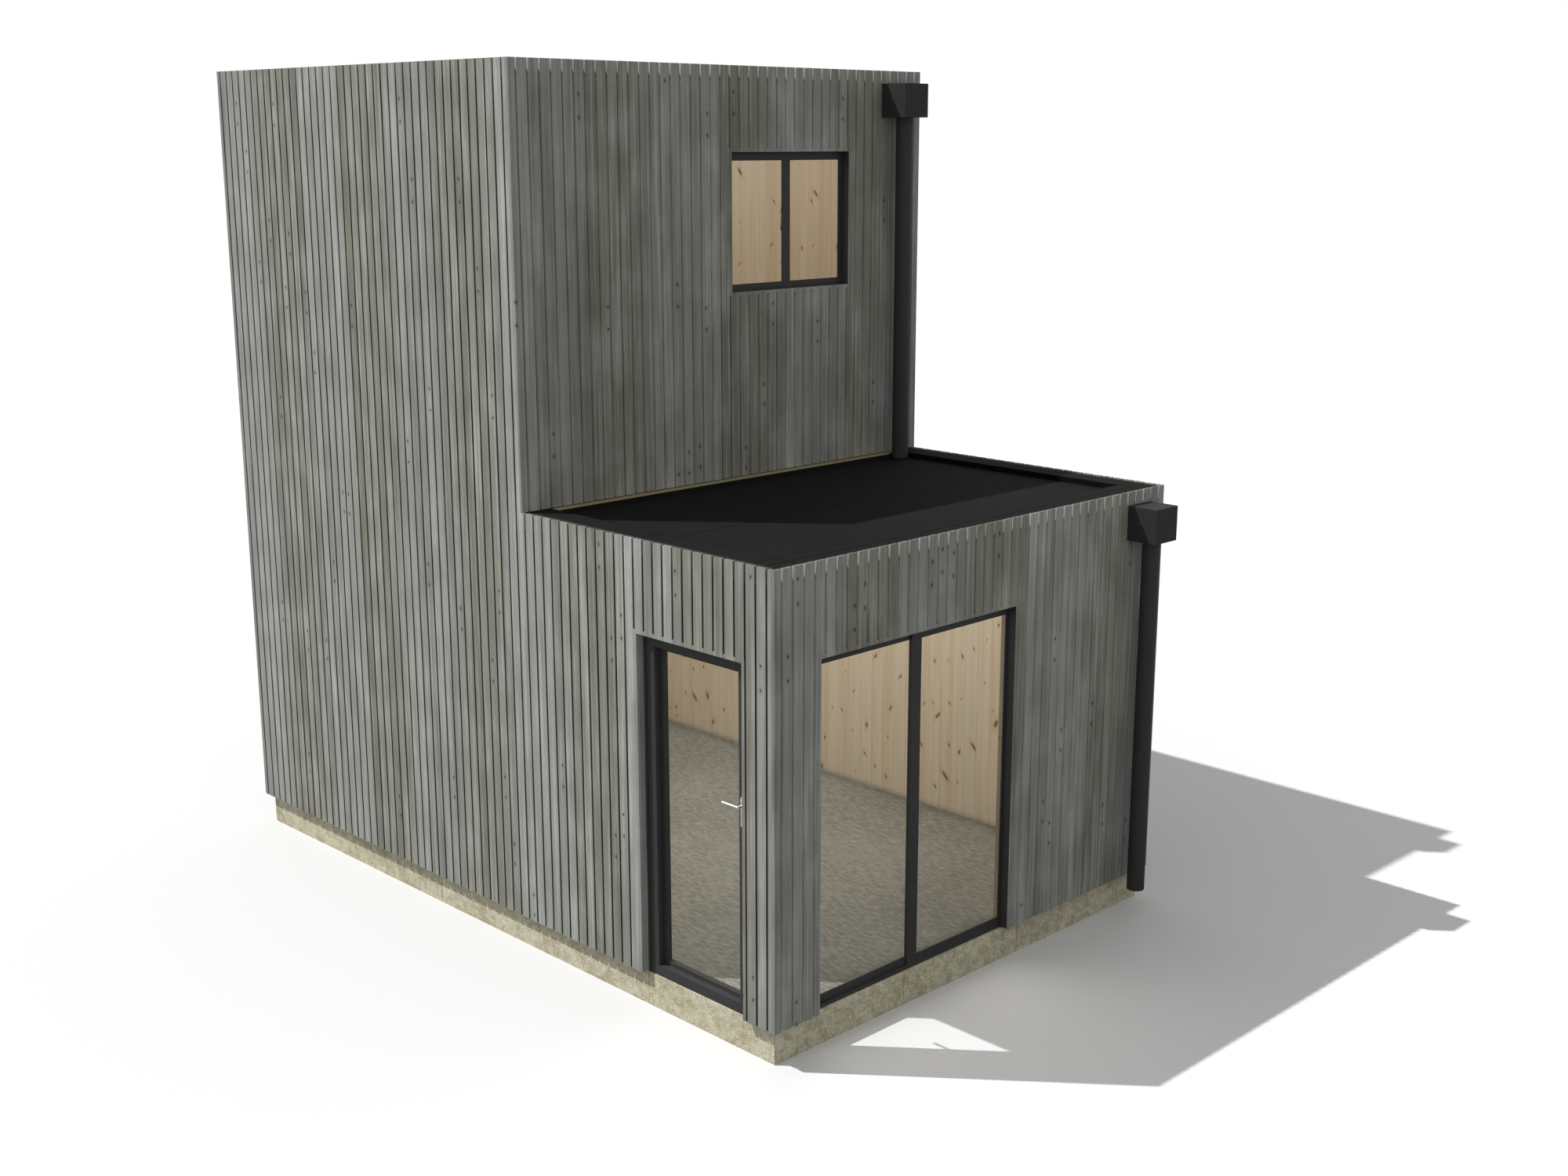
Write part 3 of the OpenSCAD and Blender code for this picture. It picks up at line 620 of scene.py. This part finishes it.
def slat_tree(finish):
    """The node tree that sets one row of upright slats along a wall."""
    tree = bpy.data.node_groups.new("slat_row_" + finish.name, "GeometryNodeTree")
    tree.interface.new_socket("Geometry", in_out="INPUT", socket_type="NodeSocketGeometry")
    tree.interface.new_socket("Start", in_out="INPUT", socket_type="NodeSocketVector")
    for name in ("Turn", "Run", "First Joint", "Pitch", "Gap", "Thickness", "Height",
                 "Edge Radius"):
        tree.interface.new_socket(name, in_out="INPUT", socket_type="NodeSocketFloat")
    tree.interface.new_socket("Geometry", in_out="OUTPUT", socket_type="NodeSocketGeometry")
    g = Nodes(tree)
    given = g.node("NodeGroupInput").outputs
    run, first, pitch, gap, thickness = (
        Value(g, given[name]) for name in ("Run", "First Joint", "Pitch", "Gap", "Thickness"))
    # One point for each slat, the part slats at both ends included
    count = ((run - first) / pitch).ceiling() + 1.0
    line = g.node("GeometryNodeMeshLine", {"mode": "OFFSET"}, Count=count)
    index = Value(g, g.node("GeometryNodeInputIndex").outputs[0])
    half_gap = gap * 0.5
    joint = index * pitch + first
    right = (joint - half_gap).smaller(run)
    left = (joint - pitch + half_gap).larger(0.0)
    width = right - left
    spot = g.point((left + right) * 0.5, thickness * 0.5, 0.0)
    placed = g.node("GeometryNodeSetPosition", Geometry=line.outputs["Mesh"], Position=spot)
    whole = g.node("FunctionNodeCompare", {"data_type": "FLOAT", "operation": "GREATER_THAN"},
                   i0=width, i1=NARROWEST_SLAT)
    # One whole slat a metre tall, with rounded long edges
    shape = g.node("GeometryNodeCurvePrimitiveQuadrilateral", {"mode": "RECTANGLE"},
                   Width=pitch - gap, Height=thickness)
    rounded = g.node("GeometryNodeFilletCurve", {"mode": "POLY"}, Curve=shape.outputs[0],
                     Radius=given["Edge Radius"], Count=2)
    upright = g.node("GeometryNodeCurvePrimitiveLine", {"mode": "POINTS"},
                     Start=(0.0, 0.0, 0.0), End=(0.0, 0.0, 1.0))
    steady = g.node("GeometryNodeSetCurveNormal", {"mode": "FREE"}, Curve=upright.outputs[0],
                    Normal=(1.0, 0.0, 0.0))
    slat = g.node("GeometryNodeCurveToMesh", Curve=steady.outputs[0],
                  Profile_Curve=rounded.outputs[0], Fill_Caps=True)
    size = g.point(width / (pitch - gap), 1.0, given["Height"])
    stood = g.node("GeometryNodeInstanceOnPoints", Points=placed.outputs[0],
                   Selection=whole.outputs[0], Instance=slat.outputs[0], Scale=size)
    real = g.node("GeometryNodeRealizeInstances", Geometry=stood.outputs[0])
    moved = g.node("GeometryNodeTransform", Geometry=real.outputs[0], Translation=given["Start"],
                   Rotation=g.point(0.0, 0.0, given["Turn"]))
    flat = g.node("GeometryNodeSetShadeSmooth", Geometry=moved.outputs[0], Shade_Smooth=False)
    painted = g.node("GeometryNodeSetMaterial", Geometry=flat.outputs[0], Material=finish)
    g.node("NodeGroupOutput", i0=painted.outputs[0])
    return tree


def made_by_tree(tree, values):
    """The plain mesh that a node tree makes from named values."""
    host = put("maker", bpy.data.meshes.new("maker"))
    modifier = host.modifiers.new("row", "NODES")
    modifier.node_group = tree
    for item in tree.interface.items_tree:
        if item.in_out == "INPUT" and item.name in values:
            modifier[item.identifier] = values[item.name]
    graph = bpy.context.evaluated_depsgraph_get()
    mesh = bpy.data.meshes.new_from_object(host.evaluated_get(graph), depsgraph=graph)
    host.modifiers.clear()
    bpy.data.objects.remove(host)
    return mesh


def joined(name, meshes):
    """Several meshes as one, each with its own finish."""
    bm = bmesh.new()
    finishes = []
    for mesh in meshes:
        start = len(bm.faces)
        bm.from_mesh(mesh)
        bm.faces.ensure_lookup_table()
        finish = next(finish for finish in mesh.materials if finish)
        if finish not in finishes:
            finishes.append(finish)
        for face in bm.faces[start:]:
            face.material_index = finishes.index(finish)
    return mesh_of(bm, name, *finishes)


class Wall:
    """One clad face of the pod: which way it faces, and what its slats and backing are."""

    def __init__(self, side, finish, backing_finish):
        self.side = side
        self.along_x = side in ALONG_X
        self.tree = slat_tree(finish)
        self.backing_finish = backing_finish
        self.sizes = bpy.context.scene.pod_cladding

    def slats(self, start, end, bottom, top, plane):
        """Slats from start to end along the wall, with joints on the wall's own grid."""
        sizes = self.sizes
        corner = LEFT_X if self.along_x else FRONT_Y
        origin = (start, plane, bottom) if self.along_x else (plane + SLAT_DEPTH, start, bottom)
        return made_by_tree(self.tree, {
            "Start": origin, "Turn": 0.0 if self.along_x else math.pi / 2, "Run": end - start,
            "First Joint": (corner + sizes.first_joint - start) % sizes.pitch,
            "Pitch": sizes.pitch, "Gap": sizes.gap, "Thickness": SLAT_DEPTH,
            "Height": top - bottom, "Edge Radius": sizes.edge})

    def batten_levels(self, bottom, top):
        """The heights of the battens between two levels."""
        highest = top - self.sizes.slot_depth - self.sizes.batten_height
        level, levels = bottom + BATTEN_FOOT, []
        while level < highest - CLOSEST_BATTENS:
            levels.append(level)
            level += self.sizes.batten_pitch
        return levels + [highest]

    def backing(self, name, start, end, bottom, top, wall_face):
        """The sheet on the wall panels and the battens in front of it."""
        if self.along_x:
            inset = SLAT_DEPTH + SIDE_GAP
            start, end = max(start, LEFT_X + inset), min(end, RIGHT_X - inset)
        else:
            nearest = BLOCK_Y if bottom == LOW_TOP_Z else FRONT_Y
            start, end = max(start, nearest + ZONE), min(end, BACK_Y - ZONE)
        outwards = OUTWARDS[self.side]
        inner = wall_face + outwards * SHEET_GAP
        skin = wall_face + outwards * (SHEET_GAP + SHEET)
        outer = wall_face + outwards * (ZONE - SLAT_DEPTH)
        layers = [(inner, skin, bottom, top - SHEET_DROP)]
        layers += [(skin, outer, level, level + self.sizes.batten_height)
                   for level in self.batten_levels(bottom, top)]
        bm = bmesh.new()
        for near, far, low, high in layers:
            near, far = sorted((near, far))
            if self.along_x:
                box_faces(bm, (start, near, low), (end, far, high))
            else:
                box_faces(bm, (near, start, low), (far, end, high))
        return mesh_of(bm, name, self.backing_finish)


def box_faces(bm, low, high):
    """Adds a box between two corners to a mesh that is being made."""
    low, high = Vector(low), Vector(high)
    size, middle = high - low, (low + high) / 2
    for vertex in bmesh.ops.create_cube(bm, size=1.0)["verts"]:
        vertex.co = vertex.co * size + middle


def slat_rows(sizes):
    """Each row of slats: its name, its wall, the frame pieces it stands for, the plane of its
    slats, the face of the wall behind them, and its runs from start to end and bottom to top."""
    casing, door, upper = (corners(node) for node in (
        "window_casing", "door_casing", "upper_window_casing"))
    left_face, right_face = LEFT_X + ZONE, RIGHT_X - ZONE
    front_face, back_face, block_face = FRONT_Y + ZONE, BACK_Y - ZONE, BLOCK_Y + ZONE
    right_plane, back_plane = RIGHT_X - SLAT_DEPTH, BACK_Y - SLAT_DEPTH
    after_front = FRONT_Y + SLAT_DEPTH + CORNER_GAP
    after_block = BLOCK_Y + SLAT_DEPTH + CORNER_GAP
    before_back = BACK_Y - SLAT_DEPTH - CORNER_GAP
    # The tall slats start at the first joint past the front of the block
    past = math.ceil((BLOCK_Y - FRONT_Y - sizes.first_joint) / sizes.pitch)
    block_joint = FRONT_Y + sizes.first_joint + past * sizes.pitch
    tall_runs = [(block_joint, before_back, SOLE_Z, TALL_TOP_Z),
                 (after_block, block_joint, LOW_TOP_Z, TALL_TOP_Z)]
    return [
        ("front_slats", "front", ["front_cladding"], FRONT_Y, front_face, [
            (LEFT_X, casing[0].x, SOLE_Z, LOW_TOP_Z),
            (casing[1].x, RIGHT_X, SOLE_Z, LOW_TOP_Z),
            (casing[0].x, casing[1].x, casing[1].z, LOW_TOP_Z)]),
        ("upper_front_slats", "front", ["upper_front_cladding"], BLOCK_Y, block_face, [
            (LEFT_X, upper[0].x, UPPER_SOLE_Z, TALL_TOP_Z),
            (upper[1].x, RIGHT_X, UPPER_SOLE_Z, TALL_TOP_Z),
            (upper[0].x, upper[1].x, upper[1].z, TALL_TOP_Z),
            (upper[0].x, upper[1].x, UPPER_SOLE_Z, upper[0].z)]),
        ("left_slats_low", "left",
         ["left_cladding_pier", "left_cladding_head", "left_cladding_low"], LEFT_X, left_face, [
             (after_front, door[0].y, SOLE_Z, LOW_TOP_Z),
             (door[0].y, door[1].y, door[1].z, LOW_TOP_Z),
             (door[1].y, block_joint, SOLE_Z, LOW_TOP_Z)]),
        ("left_slats_tall", "left", ["left_cladding_tall"], LEFT_X, left_face, tall_runs),
        ("right_slats_low", "right", ["right_cladding_low"], right_plane, right_face, [
            (after_front, block_joint, SOLE_Z, LOW_TOP_Z)]),
        ("right_slats_tall", "right", ["right_cladding_tall"], right_plane, right_face,
         tall_runs),
        ("back_slats", "back", ["back_cladding"], back_plane, back_face, [
            (LEFT_X, RIGHT_X, SOLE_Z, TALL_TOP_Z)]),
    ]


# --- stage ---


def studio_floor():
    """A plain floor, pale to the eye and darker in the light that it throws back."""
    s = Shade("studio_floor")
    path = s.node("ShaderNodeLightPath").outputs
    seen = Value(s, path["Is Camera Ray"]).larger(Value(s, path["Is Transmission Ray"]))
    tint = s.mix(seen, (0.25, 0.25, 0.25), (0.74, 0.74, 0.74))
    finish = s.surface(Base_Color=tint, Roughness=1.0, Specular_IOR_Level=0.0)
    bm = bmesh.new()
    bmesh.ops.create_grid(bm, x_segments=1, y_segments=1, size=FLOOR_REACH)
    floor = put("studio_floor", mesh_of(bm, "studio_floor", finish))


def studio_sky(strength):
    """A plain white fill light, with a white backdrop for the eye."""
    s = Shade("studio_sky", "worlds", "ShaderNodeOutputWorld")
    white = (1.0, 1.0, 1.0)
    light = s.node("ShaderNodeBackground", Color=white, Strength=strength)
    backdrop = s.node("ShaderNodeBackground", Color=white, Strength=1.0)
    path = s.node("ShaderNodeLightPath").outputs
    seen = Value(s, path["Is Camera Ray"]).larger(Value(s, path["Is Transmission Ray"]))
    bpy.context.scene.world = s.show(s.node(
        "ShaderNodeMixShader", i0=seen, i1=light.outputs[0], i2=backdrop.outputs[0]))


def aim(thing, direction):
    """Turns a lamp or a camera to look along a direction."""
    thing.rotation_mode = "QUATERNION"
    thing.rotation_quaternion = Vector(direction).to_track_quat("-Z", "Y")


def key_lamp(strength):
    """The key lamp, from the back left and above."""
    lamp = bpy.data.lights.new("key_lamp", "SUN")
    lamp.energy = strength
    lamp.angle = KEY_WIDTH
    aim(put("key_lamp", lamp), KEY_SHINES)


def room_lamp(name, low, high, ceiling, power):
    """A soft lamp under a ceiling, over most of a room. Power is for 10 square metres."""
    spread, drop, stated_area = 0.9, 0.02, 10.0
    lamp = bpy.data.lights.new(name, "AREA")
    lamp.shape = "RECTANGLE"
    lamp.size = (high.x - low.x) * spread
    lamp.size_y = (high.y - low.y) * spread
    lamp.energy = power * lamp.size * lamp.size_y / stated_area
    room = put(name, lamp)
    room.location = ((low.x + high.x) / 2, (low.y + high.y) / 2, ceiling - drop)
    room.visible_camera = False
    room.visible_glossy = False


def studio_camera(lens):
    """The camera, a few steps off the corner beside the door."""
    camera = bpy.data.cameras.new("camera")
    camera.lens = lens
    camera.sensor_width = 36.0
    camera.clip_end = 200.0
    eye = put("camera", camera)
    eye.location = CAMERA_PLACE
    aim(eye, CAMERA_LOOKS)
    bpy.context.scene.camera = eye


# --- operators ---


class MakeCladding(bpy.types.Operator):
    """Sets the slats, battens, breather membrane and casing boards on every wall"""

    bl_idname = "pod.make_cladding"
    bl_label = "Make Cladding"

    def execute(self, context):
        # Lit and shaded copies of one slat finish: along X darker slats and lighter joints, along Y
        # darker joints, as painted shade and light
        along_x = weathered_slats("slats_along_front", "X", LEFT_X, khaki_start=0.23,
                                  base=0.86, painted_joint_light=1.85, spread=0.16)
        along_y = weathered_slats("slats_along_side", "Y", FRONT_Y, khaki_start=-0.09,
                                  base=0.97, painted_joint_light=0.4, spread=0.27)
        dark = breather_membrane()
        walls = {side: Wall(side, along_x if side in ALONG_X else along_y, dark)
                 for side in OUTWARDS}
        for name, side, nodes, plane, wall_face, runs in slat_rows(context.scene.pod_cladding):
            meshes = []
            for number, run in enumerate(runs):
                meshes.append(walls[side].slats(*run, plane))
                meshes.append(walls[side].backing(f"{name}_backing_{number}", *run, wall_face))
            as_piece(name, joined(name, meshes), "root", nodes)
        liner = coated("window_liner", context.scene.pod_finishes.black, roughness=0.5,
                       pebble=900.0)
        for node in ("window_casing", "door_casing", "upper_window_casing"):
            finish = along_y if node == "door_casing" else along_x
            boards = bevelled(node.replace("casing", "casing_boards"), node, finish,
                              BOARD_EDGE)
            if node != "door_casing":
                lined(boards, liner)
        return {"FINISHED"}


class MakePlinthAndRooms(bpy.types.Operator):
    """Gives the plinth, the floor, the walls and the decks their finishes"""

    bl_idname = "pod.make_plinth_and_rooms"
    bl_label = "Make Plinth and Rooms"

    def execute(self, context):
        stone, floor = stone_plinth(), streaked_floor()
        pine_x = pine_panel("pine_along_front", "X")
        pine_y = pine_panel("pine_along_side", "Y")
        for node in NODES:
            if node.startswith("plinth"):
                dress(node, stone)
            elif node == "floor_slab":
                dress(node, floor)
            elif node in ("front_wall", "back_wall", "upper_front_wall", "upper_back_wall"):
                dress(node, pine_x)
            elif "wall" in node or node in ("upper_floor", "low_roof_deck", "high_roof_deck"):
                dress(node, pine_y)
        return {"FINISHED"}


class MakeRoofs(bpy.types.Operator):
    """Finishes the roof trays and the kerb"""

    bl_idname = "pod.make_roofs"
    bl_label = "Make Roofs"

    def execute(self, context):
        membrane = roof_membrane()
        dress("low_roof_membrane", membrane)
        dress("high_roof_membrane", membrane)
        dress("roof_kerb", kerb_board())
        return {"FINISHED"}


class MakeDoorAndWindows(bpy.types.Operator):
    """Finishes the door, the windows and their glass"""

    bl_idname = "pod.make_door_and_windows"
    bl_label = "Make Door and Windows"

    def execute(self, context):
        black = coated("black_coat", context.scene.pod_finishes.black, roughness=0.5,
                       pebble=900.0)
        glass, steel = clear_glass(), satin_steel()
        for node in ("door_frame", "door_leaf", "window_frame", "upper_window_frame"):
            bevelled(node + "_profile", node, black, FRAME_EDGE,
                     "door" if node == "door_leaf" else "root")
        for node in ("door_glass", "window_glass", "upper_window_glass"):
            dress(node, glass)
        for node in ("door_handle", "frame_hinges", "leaf_hinges", "upper_window_handle"):
            dress(node, steel)
        return {"FINISHED"}


class MakeRainwater(bpy.types.Operator):
    """Finishes the hoppers and the downpipes"""

    bl_idname = "pod.make_rainwater"
    bl_label = "Make Rainwater Goods"

    def execute(self, context):
        gutter = context.scene.pod_finishes.gutter
        # Painted shade: the hoppers get a darker copy of the rainwater black
        darker = [0.72 * part for part in gutter]
        matt = coated("hopper_coat", darker, roughness=0.7, pebble=500.0)
        black = coated("rainwater_coat", gutter, roughness=0.6, pebble=500.0)
        for node in ("lower_hopper", "upper_hopper"):
            bevelled(node + "_box", node, matt, HOPPER_EDGE)
        for node in ("lower_downpipe", "upper_downpipe"):
            dress(node, black)
        return {"FINISHED"}


class MakeStage(bpy.types.Operator):
    """Sets up the floor, the soft lamps and the camera"""

    bl_idname = "pod.make_stage"
    bl_label = "Make Stage"

    def execute(self, context):
        stage = context.scene.pod_stage
        context.scene.view_settings.view_transform = "Standard"
        studio_floor()
        studio_sky(stage.sky_strength)
        key_lamp(stage.sun_strength)
        low, high = corners("floor_slab")
        upper_share = 0.68
        room_lamp("low_room_lamp", low, high, corners("low_roof_deck")[0].z, stage.room_lamp)
        room_lamp("upper_room_lamp", Vector((low.x, corners("upper_floor")[0].y, low.z)), high,
                  corners("high_roof_deck")[0].z, stage.room_lamp * upper_share)
        studio_camera(stage.lens)
        return {"FINISHED"}


class PodPanel(bpy.types.Panel):
    """Lists the pod's sizes, colours and stage settings, and the buttons that make its pieces"""

    bl_idname = "VIEW3D_PT_garden_pod"
    bl_label = "Garden Office Pod"
    bl_space_type = "VIEW_3D"
    bl_region_type = "UI"
    bl_category = "Pod"

    def draw(self, context):
        layout = self.layout
        for name, group in GROUPS:
            column = layout.column(align=True)
            for size in group.__annotations__:
                column.prop(getattr(context.scene, name), size)
        column = layout.column(align=True)
        for operator in OPERATORS:
            column.operator(operator.bl_idname)


GROUPS = (("pod_cladding", PodCladding), ("pod_finishes", PodFinishes), ("pod_stage", PodStage))
OPERATORS = (MakeCladding, MakePlinthAndRooms, MakeRoofs, MakeDoorAndWindows, MakeRainwater,
             MakeStage)


def register():
    for name, group in GROUPS:
        bpy.utils.register_class(group)
        setattr(bpy.types.Scene, name, bpy.props.PointerProperty(type=group))
    for operator in OPERATORS:
        bpy.utils.register_class(operator)
    bpy.utils.register_class(PodPanel)


def unregister():
    bpy.utils.unregister_class(PodPanel)
    for operator in reversed(OPERATORS):
        bpy.utils.unregister_class(operator)
    for name, group in reversed(GROUPS):
        delattr(bpy.types.Scene, name)
        bpy.utils.unregister_class(group)


def main():
    """Makes the whole pod and its stage."""
    register()
    bpy.ops.pod.make_cladding()
    bpy.ops.pod.make_plinth_and_rooms()
    bpy.ops.pod.make_roofs()
    bpy.ops.pod.make_door_and_windows()
    bpy.ops.pod.make_rainwater()
    bpy.ops.pod.make_stage()


if __name__ == "__main__":
    main()
